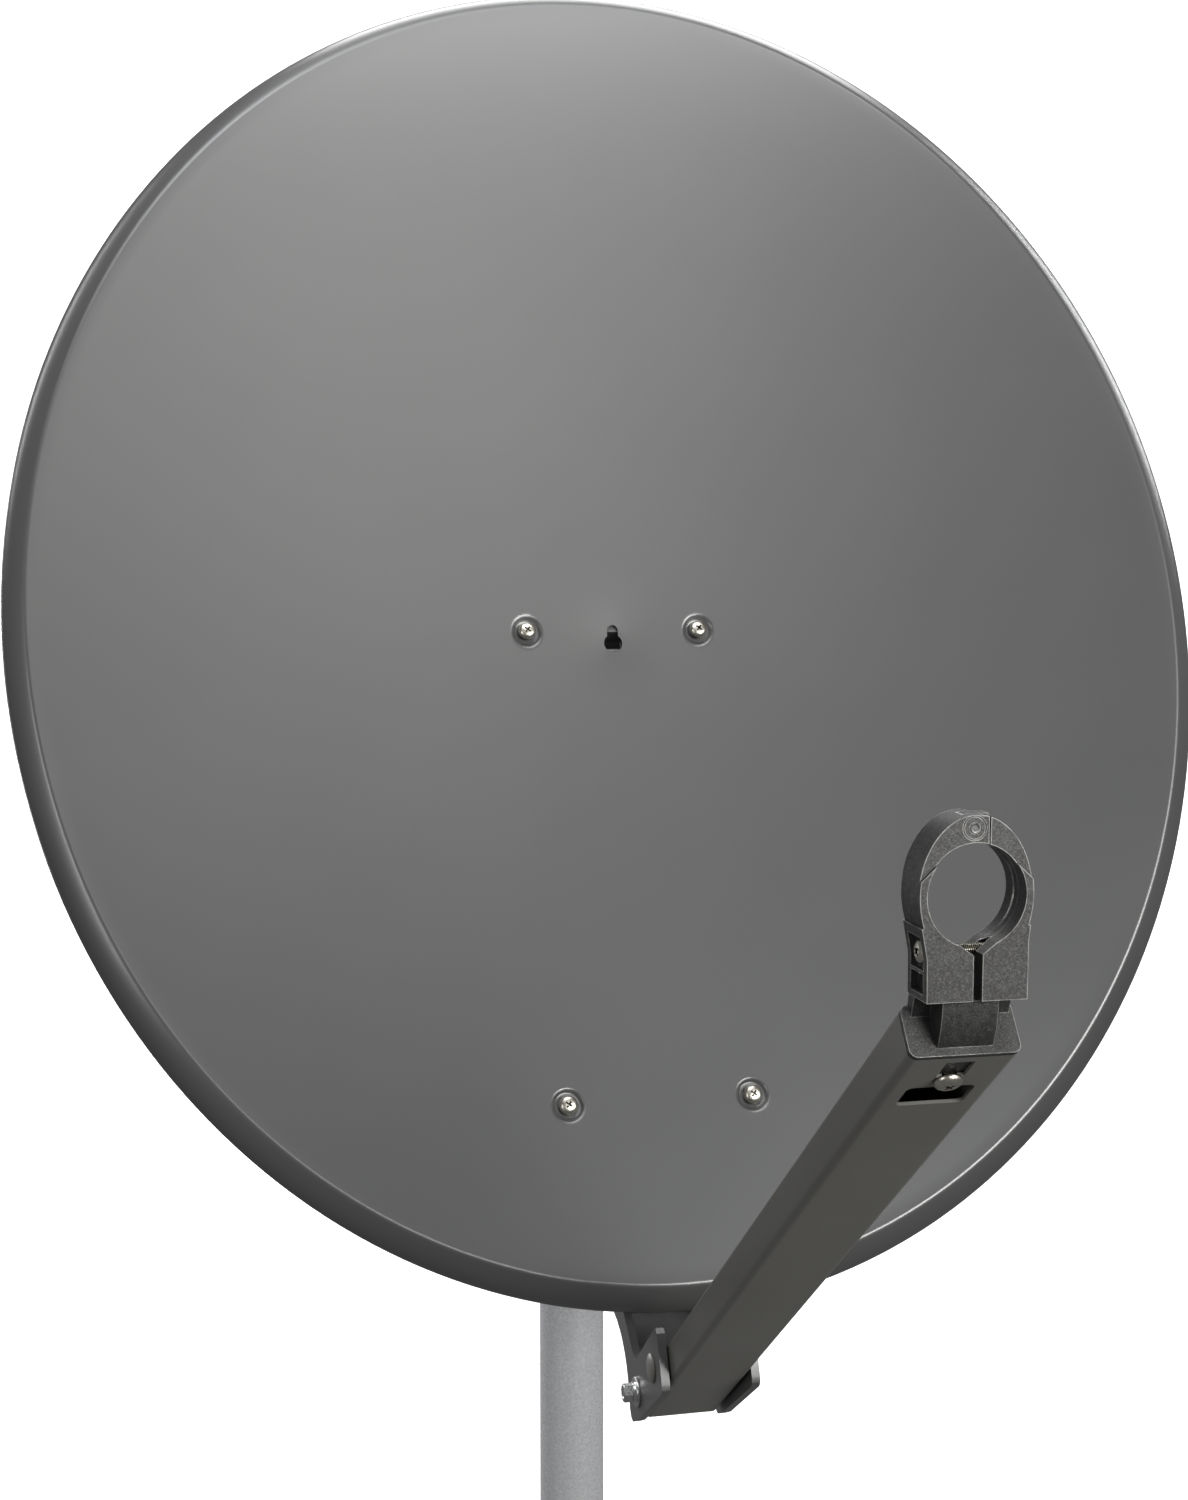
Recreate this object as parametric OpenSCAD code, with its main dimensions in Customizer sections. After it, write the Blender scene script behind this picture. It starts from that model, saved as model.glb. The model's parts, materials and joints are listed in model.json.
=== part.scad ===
// Offset satellite dish on a mast clamp, in millimetres.
// The mast's axis is the Z axis, and the middle of the mast clamp is the origin.
// The dish faces -Y and leans back, and every joint is drawn at its rest position.

/* [Reflector] */
// Width over the rim
reflector_w = 800; // [790:1:810]
// Height over the rim, along the dish
reflector_h = 908; // [896:1:920]
// Focal length of the paraboloid
focal_length = 480; // [470:1:500]
// Sheet thickness
sheet = 1.2; // [1:0.1:1.5]
// Width of the rolled rim, outside its crest
rim_w = 16; // [14:1:18]
// Depth of the rolled rim, behind its crest
rim_d = 18; // [16:1:20]
// Angle that the dish leans back from upright
lean = 20; // [18:0.5:22]
// Distance from the mast's axis forward to the middle of the rim
rim_forward = 207; // [205:1:210]
// Height of the middle of the rim above the mast clamp
rim_up = 90; // [88:1:92]

/* [Reflector screws] */
// Distance between the left and right screws
screw_pitch = 120; // [116:1:124]
// Upper row, from the middle of the rim along the dish
screw_top = -5; // [-8:1:-2]
// Lower row, from the middle of the rim along the dish
screw_low = -326; // [-330:1:-322]
// Centre of the hanging keyhole, from the middle of the rim
keyhole_v = -13; // [-15:1:-11]

/* [Rear bracket] */
// Width over the two cheeks
cheek_span = 59; // [58:0.5:60]
// Thickness of a cheek
cheek_t = 5; // [5:0.5:6]
// Height of the screw bosses
boss_h = 16; // [15:1:18]

/* [Feed arm] */
// Width of the arm's tube
arm_w = 46; // [45:0.5:46]
// Height of the arm's tube
arm_h = 22; // [21:0.5:23]
// Wall of the arm's tube
arm_wall = 1.5; // [1.2:0.1:2]
// Length of the arm's tube
arm_length = 543; // [540:1:550]
// Slope of the arm, below level towards the dish
arm_slope = 38; // [38:1:38]
// Forward end of the tube's lower face, ahead of the mast
arm_tip_y = -769.9; // [-771:0.1:-769]
// Forward end of the tube's lower face, above the mast clamp
arm_tip_z = -75.7; // [-76:0.1:-75]
// Pivot rivet, from the forward end along the tube
arm_pivot_s = 477; // [476:1:478]
// Lock bolt, from the forward end along the tube
arm_lock_s = 525; // [524:1:526]

/* [Feed clamp] */
// Diameter that the clamp takes
feed_d = 40; // [39.5:0.1:40.5]
// Length of the clamp along its bore
clamp_l = 20; // [19:0.5:21]
// Bore's axis above the mast clamp
feed_z = -10.7; // [-11:0.1:-10]
// Front face of the clamp, ahead of the mast
clamp_front = -779; // [-780:0.5:-778]

/* [Mast clamp] */
// Diameter of the mast
mast_d = 50; // [48:1:52]
// Distance between the upper and lower jaws
jaw_pitch = 80; // [76:1:84]
// Distance between the left and right clamp bolts
clamp_bolt_pitch = 84; // [82:1:86]
// Elevation pivot, forward of the mast
elevation_y = -80; // [-82:1:-78]
// Elevation pivot, above the mast clamp
elevation_z = -45; // [-46:1:-44]
// Radius of the elevation slot
elevation_r = 85; // [84:1:86]
// Travel of the elevation slot forward of rest
elevation_forward = 28; // [26:1:30]
// Travel of the elevation slot back from rest
elevation_back = 12; // [10:1:12]

/* [Hidden] */
$fn = 48;

anthracite = [0.33, 0.34, 0.36];
arm_grey = [0.42, 0.41, 0.38];
raw_alloy = [0.62, 0.62, 0.6];
zinc = [0.78, 0.78, 0.76];

running = 0.05;              // radial clearance of a pin that turns in its hole
crest_a = reflector_w / 2 - rim_w;
crest_b = reflector_h / 2 - rim_w;
offset_angle = acos(crest_a / crest_b);

m8 = 4;                      // radius of an M8 shank
m8_head_r = 7.5;             // over the corners of its hexagon
m8_head_h = 5.5;
m8_nut_h = 6.5;
m8_washer_r = 8;
m8_washer_h = 1.6;
m5 = 2.5;
m5_head_r = 5;
m6 = 3;
m6_head_r = 6;
m6_nut_r = 5.77;
m6_nut_h = 5;
m6_washer_r = 6.4;
m6_washer_h = 1.2;

// ---------- helpers ----------

// A flat outline in Y and Z, thickened along X from x0.
module side_plate(x0, thick) {
    translate([x0, 0, 0]) rotate([90, 0, 90]) linear_extrude(thick) children();
}

// A cylinder along X, from x0 to x1.
module rod_x(x0, x1, r, sides = 48) {
    translate([x0, 0, 0]) rotate([0, 90, 0]) cylinder(h = x1 - x0, r = r, $fn = sides);
}

// A cylinder along Y, from y0 to y1.
module rod_y(y0, y1, r, sides = 48) {
    translate([0, y0, 0]) rotate([-90, 0, 0]) cylinder(h = y1 - y0, r = r, $fn = sides);
}

// A ring along X or along Y.
module ring_x(x0, x1, r, bore) {
    difference() {
        rod_x(x0, x1, r);
        rod_x(x0 - 1, x1 + 1, bore);
    }
}

module ring_y(y0, y1, r, bore) {
    difference() {
        rod_y(y0, y1, r);
        rod_y(y0 - 1, y1 + 1, bore);
    }
}

// A hexagon nut along X or along Y.
module nut_x(x0, x1, r, bore) {
    difference() {
        rod_x(x0, x1, r, 6);
        rod_x(x0 - 1, x1 + 1, bore);
    }
}

module nut_y(y0, y1, r, bore) {
    difference() {
        rod_y(y0, y1, r, 6);
        rod_y(y0 - 1, y1 + 1, bore);
    }
}

// A rectangle with round corners, centred.
module round_rect(w, h, r) {
    square([w - 2 * r, h], center = true);
    square([w, h - 2 * r], center = true);
    for (sx = [-1, 1], sy = [-1, 1]) translate([sx * (w / 2 - r), sy * (h / 2 - r)]) circle(r);
}

// ---------- places ----------

// The dish's own frame: origin at the middle of the rim's crest, Z up along the dish, Y to its rear.
module on_dish() {
    translate([0, -rim_forward, rim_up]) rotate([-lean, 0, 0]) children();
}

// Depth of the reflecting face behind the plane of the crest, for a point u across and v up.
function chord(u, y) = (crest_a * crest_a - u * u - y * y) / (4 * focal_length);
function aperture_y(u, v, y, n) =
    n == 0 ? y : aperture_y(u, v, (v + chord(u, y) * sin(offset_angle)) * cos(offset_angle), n - 1);
function depth(u, v) = chord(u, aperture_y(u, v, v * cos(offset_angle), 12)) * cos(offset_angle);

seat_top = depth(screw_pitch / 2, screw_top) + sheet;
seat_low = depth(screw_pitch / 2, screw_low) + sheet;
plate_tilt = atan2(seat_top - seat_low, screw_top - screw_low);
row_pitch = norm([seat_top - seat_low, screw_top - screw_low]);

// The bracket plate's frame: origin on the sheet's back, midway between the upper screws.
module on_plate() {
    on_dish() translate([0, seat_top, screw_top]) rotate([-plate_tilt, 0, 0]) children();
}

module at_reflector_screws() {
    on_plate() for (x = [-1, 1], row = [0, 1]) translate([x * screw_pitch / 2, 0, -row * row_pitch]) children();
}

module at_elevation_pivot() {
    translate([0, elevation_y, elevation_z]) children();
}

module at_elevation_lock() {
    translate([0, elevation_y, elevation_z + elevation_r]) children();
}

// The arm's own frame: Y runs along the tube from its forward end, Z is up from its lower face.
module on_arm() {
    translate([0, arm_tip_y, arm_tip_z]) rotate([-arm_slope, 0, 0]) children();
}

arm_pivot_n = 13;            // above the tube's lower face
arm_lock_n = 11.5;

module at_arm_pivot() {
    on_arm() translate([0, arm_pivot_s, arm_pivot_n]) children();
}

module at_arm_lock() {
    on_arm() translate([0, arm_lock_s, arm_lock_n]) children();
}

// The feed clamp's frame: origin on the bore's axis at the clamp's front face.
module on_clamp() {
    translate([0, clamp_front, feed_z]) children();
}

module at_mast_bolts(z) {
    for (x = [-1, 1]) translate([x * clamp_bolt_pitch / 2, 0, z]) children();
}

// ---------- reflector ----------

segments = 96;
rings = 9;

// The rim's section, outward from the crest and back from it.
rim_outer = [
    for (a = [15:15:90]) [rim_w * sin(a), (rim_d - 3) * (1 - cos(a))],
    [rim_w, rim_d]
];
rim_inner = [
    [rim_w - sheet, rim_d],
    for (a = [90:-15:15]) [(rim_w - sheet) * sin(a), (rim_d - 3) * (1 - cos(a)) + sheet * cos(a)]
];

function dish_ring(k, back) = [
    for (i = [0:segments - 1])
        let (t = 360 * i / segments, u = crest_a * k * cos(t), v = crest_b * k * sin(t))
        [u, depth(u, v) + back, v]
];
function rim_ring(p) = [
    for (i = [0:segments - 1])
        let (t = 360 * i / segments)
        [(crest_a + p[0]) * cos(t), p[1], (crest_b + p[0]) * sin(t)]
];

dish_rings = concat(
    [for (j = [1:rings]) dish_ring(j / rings, 0)],
    [for (p = rim_outer) rim_ring(p)],
    [for (p = rim_inner) rim_ring(p)],
    [for (j = [rings:-1:1]) dish_ring(j / rings, sheet)]
);
dish_points = concat(
    [[0, depth(0, 0), 0]],
    [for (ring = dish_rings) each ring],
    [[0, depth(0, 0) + sheet, 0]]
);
last_ring = len(dish_rings) - 1;
last_point = len(dish_points) - 1;

function corner(j, i) = 1 + j * segments + i % segments;

dish_faces = concat(
    [for (i = [0:segments - 1]) [0, corner(0, i), corner(0, i + 1)]],
    [for (j = [0:last_ring - 1], i = [0:segments - 1]) [corner(j, i), corner(j + 1, i), corner(j, i + 1)]],
    [for (j = [0:last_ring - 1], i = [0:segments - 1]) [corner(j + 1, i), corner(j + 1, i + 1), corner(j, i + 1)]],
    [for (i = [0:segments - 1]) [last_point, corner(last_ring, i + 1), corner(last_ring, i)]]
);

keyhole_r = 6.4;
keyhole_slot = 7.6;
keyhole_rise = 8.6;          // from the round hole up to the middle of the slot's round end

module reflector() {
    color(anthracite) difference() {
        on_dish() polyhedron(dish_points, dish_faces);
        at_reflector_screws() rod_y(-8, 8, 3.3);
        on_dish() translate([0, 0, keyhole_v]) {
            rod_y(40, 80, keyhole_r);
            translate([-keyhole_slot / 2, 40, 0]) cube([keyhole_slot, 40, keyhole_rise]);
            translate([0, 0, keyhole_rise]) rod_y(40, 80, keyhole_slot / 2);
        }
    }
}

head_seat = -sheet - 1;    // the sheet slopes a little across a screw's head

module pan_head_screw_y(head_r, head_h, shank_r, length) {
    rod_y(head_seat, length, shank_r);
    difference() {
        intersection() {
            rod_y(head_seat - head_h, head_seat, head_r);
            translate([0, head_seat + head_r * 1.05, 0]) sphere(r = head_r * 1.7);
        }
        for (turn = [0, 90]) rotate([0, turn, 0]) translate([-0.6, head_seat - head_h - 1, -3]) cube([1.2, 2.6, 6]);
    }
}

module reflector_screws() {
    color(zinc) at_reflector_screws() pan_head_screw_y(m6_head_r, 3.4, m6 - 0.05, boss_h + 13);
}

plate_t = 5;
nut_seat = boss_h + plate_t;

module reflector_washers() {
    color(zinc) at_reflector_screws() ring_y(nut_seat, nut_seat + m6_washer_h, m6_washer_r, 3.2);
}

module reflector_nuts() {
    color(zinc) at_reflector_screws() {
        nut_y(nut_seat + m6_washer_h, nut_seat + m6_washer_h + m6_nut_h, m6_nut_r, m6);
    }
}

// ---------- rear bracket ----------

plate_top = 35;
plate_low = -350;
wing_half = 9;
hook_pad_half = 9;           // the pad behind the keyhole's slot, and the window under it
hook_pad_front = 3;
hook_pad_low = 1;
hook_pad_h = 16;
keyhole_window = 18;

// Points of the plate in the rest frame, for a place y behind the sheet and z along the plate.
tilt = lean + plate_tilt;
plate_y0 = -rim_forward + seat_top * cos(lean) + screw_top * sin(lean);
plate_z0 = rim_up - seat_top * sin(lean) + screw_top * cos(lean);
function plate_point(y, z) = [
    plate_y0 + y * cos(tilt) + z * sin(tilt),
    plate_z0 - y * sin(tilt) + z * cos(tilt)
];

// Points of the arm in the rest frame, for a place s along it and n above its lower face.
function arm_point(s, n) = [
    arm_tip_y + s * cos(arm_slope) + n * sin(arm_slope),
    arm_tip_z - s * sin(arm_slope) + n * cos(arm_slope)
];

// A curve through two end points with one control point.
function bow(a, b, c, steps) = [
    for (i = [0:steps]) let (t = i / steps) a * (1 - t) * (1 - t) + b * 2 * t * (1 - t) + c * t * t
];

module cheek_outline() {
    lock = [elevation_y, elevation_z + elevation_r];
    polygon(concat(
        [plate_point(boss_h, plate_top), plate_point(boss_h, plate_low)],
        bow([-298, -316], [-306, -352], [-311, -355], 5),
        [[-337, -371], [-341, -372.5], [-345, -371]],
        [[-390, -334], [-393.5, -332], [-397, -334]],
        [[-409.5, -359.5], [-410, -363], [-408.5, -366]],
        [[-349, -408], [-337, -414.2], [-332.5, -413.2]],
        bow([-329, -409], [-321, -371], [-283, -365.5], 8),
        bow([-262, -362], [-225, -351], [-196, -305], 6),
        [[-112, -168], [elevation_y + 16, elevation_z - 30], [elevation_y + 16, elevation_z]],
        [for (a = [0:15:90]) lock + 14 * [cos(a), sin(a)]]
    ));
}

// The wall that closes the channel between the cheeks, inside their lower rear edge.
module web_outline() {
    polygon([
        [-320.2, -386], [-314, -378.7], [-300.4, -369.8], [-283, -365], [-262, -361.5],
        [-244.4, -353.8], [-227.4, -341.8], [-211.4, -325.5], [-196.5, -304.8],
        [-199.1, -303.3], [-213.8, -323.8], [-229.4, -339.5], [-245.8, -351.1], [-262.6, -358.6],
        [-283.5, -362.1], [-301.6, -367.1], [-316.1, -376.6], [-322.6, -384.3]
    ]);
}

module wing() {
    translate([0, boss_h, 0]) rotate([-90, 0, 0]) linear_extrude(plate_t) {
        square([screw_pitch, 2 * wing_half], center = true);
        for (x = [-1, 1]) translate([x * screw_pitch / 2, 0]) circle(wing_half);
    }
}

module dish_bracket() {
    inner = cheek_span / 2 - cheek_t;
    color(arm_grey) difference() {
        union() {
            for (x0 = [-cheek_span / 2, inner]) side_plate(x0, cheek_t) cheek_outline();
            side_plate(1 - cheek_span / 2, cheek_span - 2) web_outline();
            on_plate() {
                translate([1 - cheek_span / 2, boss_h, plate_low]) cube([cheek_span - 2, plate_t, plate_top - plate_low]);
                for (row = [0, 1]) translate([0, 0, -row * row_pitch]) wing();
            }
            at_reflector_screws() rod_y(1.4, boss_h + 1, 8);
            on_plate() translate([-hook_pad_half, hook_pad_front, hook_pad_low]) {
                cube([2 * hook_pad_half, boss_h - hook_pad_front + 1, hook_pad_h]);
            }
        }
        on_plate() translate([-hook_pad_half, boss_h - 1, hook_pad_low - keyhole_window]) {
            cube([2 * hook_pad_half, plate_t + 2, keyhole_window]);
        }
        at_reflector_screws() rod_y(0, boss_h + plate_t + 1, 3.2);
        at_elevation_pivot() rod_x(-40, 40, m8 + running);
        at_elevation_lock() rod_x(-40, 40, m8 + running);
        at_arm_pivot() rod_x(-40, 40, rivet_r + running);
        at_arm_lock() rod_x(-40, 40, m6 + running);
    }
}

// ---------- elevation hinge ----------

ear_gap = 0.2;
ear_t = 4;
ear_in = cheek_span / 2 + ear_gap;
ear_out = ear_in + ear_t;
washer_gap = 0.1;

module hex_bolt_x(under_head, tip, r, head_r, head_h) {
    rod_x(under_head, tip, r);
    rod_x(under_head - head_h, under_head, head_r, 6);
}

module pair_of_washers_x(face) {
    ring_x(-face - m8_washer_h, -face, m8_washer_r, m8 + 0.2);
    ring_x(face, face + m8_washer_h, m8_washer_r, m8 + 0.2);
}

lock_face = ear_out + washer_gap;

module elevation_pivot_bolt() {
    color(zinc) at_elevation_pivot() hex_bolt_x(-ear_out - m8_washer_h, ear_out + 11, m8, m8_head_r, m8_head_h);
}

module elevation_pivot_washers() {
    color(zinc) at_elevation_pivot() pair_of_washers_x(ear_out);
}

module elevation_pivot_nut() {
    face = ear_out + m8_washer_h;
    color(zinc) at_elevation_pivot() nut_x(face, face + m8_nut_h, m8_head_r, m8 + 0.02);
}

module elevation_pivot_bush() {
    color(zinc) at_elevation_pivot() ring_x(cheek_t - cheek_span / 2, cheek_span / 2 - cheek_t, 7, m8 + running);
}

module elevation_lock_bolt() {
    color(zinc) at_elevation_lock() hex_bolt_x(-lock_face - m8_washer_h, lock_face + 11, m8, m8_head_r, m8_head_h);
}

module elevation_lock_washers() {
    color(zinc) at_elevation_lock() pair_of_washers_x(lock_face);
}

module elevation_lock_nut() {
    face = lock_face + m8_washer_h;
    color(zinc) at_elevation_lock() nut_x(face, face + m8_nut_h, m8_head_r, m8 + 0.02);
}

module elevation_lock_bush() {
    color(zinc) at_elevation_lock() ring_x(cheek_t - cheek_span / 2, cheek_span / 2 - cheek_t, 7, m8 + running);
}

// ---------- mast clamp ----------

mast_r = mast_d / 2;
base_front = -mast_r - 13;
base_back = -mast_r - 7;
base_half = 62;
base_half_w = 54;
jaw_half = 10;
seat_back = -13;             // the seats reach round the mast to here
ear_radius = elevation_r + 14;
slot_half = m8 + 0.3;

// A place at radius r round the elevation pivot, at an angle forward of straight up.
function swing(r, a) = [elevation_y - r * sin(a), elevation_z + r * cos(a)];

ear_top_angle = asin((elevation_y - base_front) / ear_radius);

module ear_outline() {
    polygon(concat(
        [[base_front + 1, -base_half], [base_front + 1, swing(ear_radius, ear_top_angle)[1]]],
        [for (i = [0:12]) swing(ear_radius, ear_top_angle + i * (elevation_forward + 14 - ear_top_angle) / 12)],
        [[elevation_y - 18, elevation_z - 6], [elevation_y - 12, -base_half]]
    ));
}

module elevation_slot() {
    fan = ear_radius + 20;
    intersection() {
        translate([elevation_y, elevation_z]) difference() {
            circle(elevation_r + slot_half, $fn = 96);
            circle(elevation_r - slot_half, $fn = 96);
        }
        polygon(concat(
            [[elevation_y, elevation_z]],
            [for (i = [0:4]) swing(fan, -elevation_back + i * (elevation_back + elevation_forward) / 4)]
        ));
    }
    for (a = [-elevation_back, elevation_forward]) translate(swing(elevation_r, a)) circle(slot_half);
}

module scale_marks() {
    for (a = [-elevation_back:5:elevation_forward]) {
        translate([0, elevation_y, elevation_z]) rotate([a, 0, 0]) {
            translate([-ear_out - 1, -0.4, elevation_r - slot_half - 9]) cube([1.3, 0.8, 6]);
        }
    }
}

module mast_seats(y0, y1) {
    for (z = [-1, 1]) translate([-24, y0, z * jaw_pitch / 2 - jaw_half]) cube([48, y1 - y0, 2 * jaw_half]);
}

module mast_bracket() {
    color(arm_grey) difference() {
        union() {
            translate([-base_half_w, base_front, -base_half]) {
                cube([2 * base_half_w, base_back - base_front, 2 * base_half]);
            }
            for (x0 = [-ear_out, ear_in]) side_plate(x0, ear_t) difference() {
                ear_outline();
                elevation_slot();
            }
            mast_seats(base_back - 1, seat_back);
        }
        cylinder(h = 200, r = mast_r, center = true, $fn = 96);
        for (z = [-1, 1]) at_mast_bolts(z * jaw_pitch / 2) rod_y(base_front - 1, base_back + 1, m8 + 0.2);
        at_elevation_pivot() rod_x(-40, 40, m8 + 0.02);
        scale_marks();
    }
}

module mast_bolts() {
    color(zinc) for (z = [-1, 1]) at_mast_bolts(z * jaw_pitch / 2) {
        rod_y(base_front, base_front + 100, m8);
        rod_y(base_front - m8_head_h, base_front, m8_head_r, 6);
    }
}

jaw_flat = mast_r + 3;       // seat of the washers
jaw_back = mast_r + 11;

module mast_jaw(z) {
    color(arm_grey) translate([0, 0, z - jaw_half]) difference() {
        linear_extrude(2 * jaw_half) polygon([
            [-52, -seat_back + 3], [-24, -seat_back + 3], [-24, -seat_back], [24, -seat_back],
            [24, -seat_back + 3], [52, -seat_back + 3], [52, jaw_flat], [33, jaw_flat],
            [24, jaw_back], [-24, jaw_back], [-33, jaw_flat], [-52, jaw_flat]
        ]);
        translate([0, 0, -1]) cylinder(h = 2 * jaw_half + 2, r = mast_r, $fn = 96);
        at_mast_bolts(jaw_half) rod_y(0, 60, m8 + 0.3);
    }
}

module mast_washers(z) {
    color(zinc) at_mast_bolts(z) ring_y(jaw_flat, jaw_flat + m8_washer_h, m8_washer_r, m8 + 0.2);
}

module mast_nuts(z) {
    face = jaw_flat + m8_washer_h;
    color(zinc) at_mast_bolts(z) nut_y(face, face + m8_nut_h, m8_head_r, m8 + running);
}

module mast_jaw_upper() {
    mast_jaw(jaw_pitch / 2);
}

module mast_washers_upper() {
    mast_washers(jaw_pitch / 2);
}

module mast_nuts_upper() {
    mast_nuts(jaw_pitch / 2);
}

module mast_jaw_lower() {
    mast_jaw(-jaw_pitch / 2);
}

module mast_washers_lower() {
    mast_washers(-jaw_pitch / 2);
}

module mast_nuts_lower() {
    mast_nuts(-jaw_pitch / 2);
}

// ---------- feed arm ----------

arm_corner = 3.5;
rivet_r = 5;
hook_half = m6 + 0.4;
hook_r = norm([arm_lock_s - arm_pivot_s, arm_lock_n - arm_pivot_n]);
cable_slot_s = 28;
cable_slot_l = 18;
cable_slot_w = 29;
plug_screw_s = 21;

// The lock bolt's way out of the tube's rear end as the arm folds up round its pivot.
module hook_slot() {
    start = atan2(arm_lock_n - arm_pivot_n, arm_lock_s - arm_pivot_s);
    reach = hook_r + 20;
    side_plate(-arm_w, 2 * arm_w) {
        translate([arm_lock_s, arm_lock_n]) circle(hook_half);
        translate([arm_pivot_s, arm_pivot_n]) intersection() {
            difference() {
                circle(hook_r + hook_half, $fn = 96);
                circle(hook_r - hook_half, $fn = 96);
            }
            polygon([[0, 0], for (a = [start:9:start + 36]) reach * [cos(a), sin(a)]]);
        }
    }
}

module arm_section(inset, r) {
    translate([0, -arm_h / 2]) round_rect(arm_w - 2 * inset, arm_h - 2 * inset, r);
}

module arm_tube() {
    color(arm_grey) on_arm() difference() {
        rotate([-90, 0, 0]) linear_extrude(arm_length) arm_section(0, arm_corner);
        translate([0, -1, 0]) rotate([-90, 0, 0]) linear_extrude(arm_length + 2) {
            arm_section(arm_wall, arm_corner - arm_wall);
        }
        translate([0, cable_slot_s + cable_slot_l / 2, -1]) linear_extrude(arm_wall + 2) {
            round_rect(cable_slot_w, cable_slot_l, 3);
        }
        translate([-m6_head_r, 4, -1]) cube([2 * m6_head_r, plug_screw_s - 7, arm_wall + 2]);
        translate([-m6 - 0.3, 4, -1]) cube([2 * m6 + 0.6, plug_screw_s - 4, arm_wall + 2]);
        translate([0, plug_screw_s, -1]) cylinder(h = arm_wall + 2, r = m6 + 0.3);
        translate([0, arm_pivot_s, arm_pivot_n]) rod_x(-arm_w, arm_w, rivet_r + running);
        hook_slot();
    }
}

module arm_pivot_bush() {
    half = arm_w / 2 - arm_wall - 1;
    color(zinc) at_arm_pivot() ring_x(-half, half, 7, rivet_r + running);
}

module arm_pivot_rivet() {
    half = cheek_span / 2;
    color(arm_grey) at_arm_pivot() {
        rod_x(-half, half, rivet_r);
        for (side = [-1, 1]) rotate([0, side * 90, 0]) translate([0, 0, half]) {
            cylinder(h = 1, r = 8.5);
            translate([0, 0, 1]) cylinder(h = 1.2, r1 = 8.5, r2 = 6);
        }
    }
}

lock_washer_r = 9;           // wide washer of the arm's lock bolt
spring_washer_r = 6;
spring_washer_h = 2;

module arm_lock_bolt() {
    face = cheek_span / 2 + m8_washer_h;
    color(zinc) at_arm_lock() hex_bolt_x(-face - spring_washer_h, face + 9, m6, m6_nut_r, 5.5);
}

module arm_lock_washers() {
    face = cheek_span / 2;
    color(zinc) at_arm_lock() {
        for (x0 = [-face - m8_washer_h, face]) ring_x(x0, x0 + m8_washer_h, lock_washer_r, m6 + 0.2);
        ring_x(-face - m8_washer_h - spring_washer_h, -face - m8_washer_h, spring_washer_r, m6 + 0.2);
    }
}

module arm_lock_nut() {
    face = cheek_span / 2 + m8_washer_h;
    color(zinc) at_arm_lock() nut_x(face, face + m6_nut_h, m6_nut_r, m6 + 0.02);
}

// ---------- feed clamp ----------

plug_plate = 3;
plug_tongue = 26;
pin_z = 25.7;                // hinge pin above the bore's axis
pin_x = -0.9;
pin_r = 2;
leaf_r = 5;
leaf_half = 3.5;
base_z = -40.8;              // underside of the clamp's base, from the bore's axis
slot_left = -0.9;
slot_right = 2.7;
parting_x = 5;
parting_gap = 0.6;
clamp_screw_z = -22.5;
clamp_screw_y = clamp_l / 2;
base_left = -19.6;
base_right = 21.3;
ring_half_w = 23;
ring_half_h = 30.7;
face_step = 1.5;             // the upper half's front face lies this far behind the base's
neck_top = feed_z + base_z - 0.5;

// The whole clamp's outline in X and Z, from the bore's axis.
module clamp_outline() {
    polygon([for (a = [0:5:355]) [ring_half_w * cos(a), max(-20, ring_half_h * sin(a))]]);
    polygon([
        [-22, -12], [-20.8, -18.5], [base_left - 0.2, -24], [base_left, base_z],
        [base_right, base_z], [base_right, -18], [22, -12]
    ]);
}

module clamp_block() {
    rotate([90, 0, 0]) translate([0, 0, -clamp_l]) linear_extrude(clamp_l) children();
}

// The bore with the funnel under it, and the step of the upper half's front face.
module clamp_bore() {
    rod_y(-1, clamp_l + 1, feed_d / 2, 96);
    translate([0, -1, 0]) rotate([90, 0, 0]) translate([0, 0, -clamp_l - 2]) linear_extrude(clamp_l + 2) {
        polygon([[-6.5, -18], [-6.5, -18.9], [slot_left, -23], [slot_right, -22.6], [8.5, -18.1], [8.5, -17]]);
    }
    translate([0, face_step, 0]) rotate([90, 0, 0]) linear_extrude(face_step + 1) {
        polygon([[-40, -10.2], [-16.2, 11.8], [16.2, 11.8], [40, -10.2], [40, 40], [-40, 40]]);
    }
}

module leaf_zone(r, slack) {
    translate([pin_x, clamp_l / 2 - leaf_half - slack, pin_z]) rod_y(0, 2 * (leaf_half + slack), r);
}

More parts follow.
